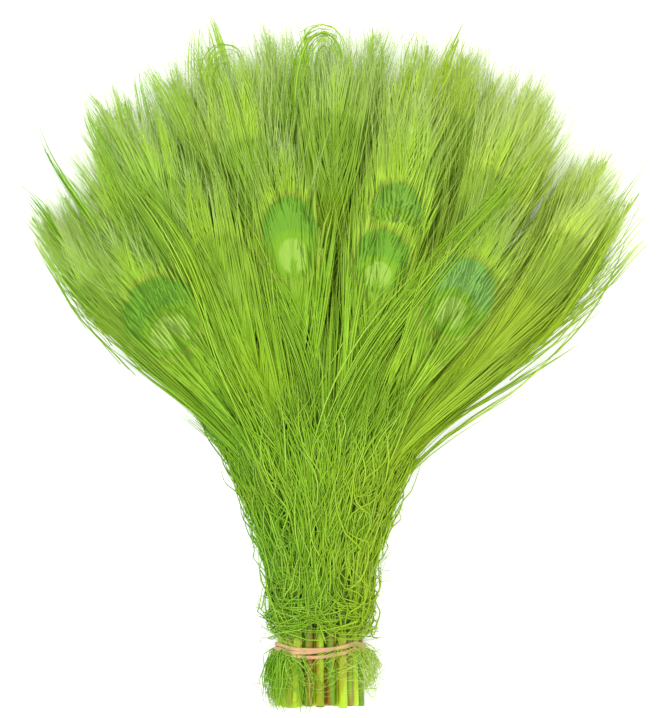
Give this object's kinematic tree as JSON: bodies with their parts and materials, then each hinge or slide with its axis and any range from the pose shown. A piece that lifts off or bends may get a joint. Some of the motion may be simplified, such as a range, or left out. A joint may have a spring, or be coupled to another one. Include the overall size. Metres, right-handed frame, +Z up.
{
  "type": "bunch of dyed peacock feathers",
  "caption": "Fan-shaped bunch of lime green dyed peacock eye feathers, tied round the quills with a rubber band and lying on its back.",
  "frame": {"origin": "middle of the bunch's outline in plan, on the surface that it lies on", "axes": "+Y along the quills from the cut ends to the feathers' tips, +Z up from the surface, +X across the fan"},
  "size_m": [0.2602, 0.2832, 0.0502],
  "materials": {
    "dyed_feather": "soft separate barbs dyed lime green, satin sheen, a faint paler and blue-green eye near each tip, glossy yellow-green quill",
    "rubber": "natural tan rubber, slightly dull"
  },
  "bodies": {
    "root": {"feather_01": "dyed_feather", "feather_02": "dyed_feather", "feather_03": "dyed_feather", "feather_04": "dyed_feather", "feather_05": "dyed_feather", "feather_06": "dyed_feather", "feather_07": "dyed_feather", "feather_08": "dyed_feather", "feather_09": "dyed_feather", "feather_10": "dyed_feather", "feather_11": "dyed_feather", "feather_12": "dyed_feather", "feather_13": "dyed_feather", "feather_14": "dyed_feather", "feather_15": "dyed_feather", "feather_16": "dyed_feather", "feather_17": "dyed_feather", "feather_18": "dyed_feather", "feather_19": "dyed_feather", "feather_20": "dyed_feather", "feather_21": "dyed_feather", "feather_22": "dyed_feather", "feather_23": "dyed_feather", "feather_24": "dyed_feather", "feather_25": "dyed_feather", "feather_26": "dyed_feather", "feather_27": "dyed_feather", "feather_28": "dyed_feather", "feather_29": "dyed_feather", "feather_30": "dyed_feather", "feather_31": "dyed_feather", "feather_32": "dyed_feather", "feather_33": "dyed_feather", "feather_34": "dyed_feather", "feather_35": "dyed_feather", "feather_36": "dyed_feather", "feather_37": "dyed_feather", "feather_38": "dyed_feather", "feather_39": "dyed_feather", "feather_40": "dyed_feather", "feather_41": "dyed_feather", "feather_42": "dyed_feather", "feather_43": "dyed_feather", "feather_44": "dyed_feather", "rubber_band": "rubber"}
  },
  "joints": []
}
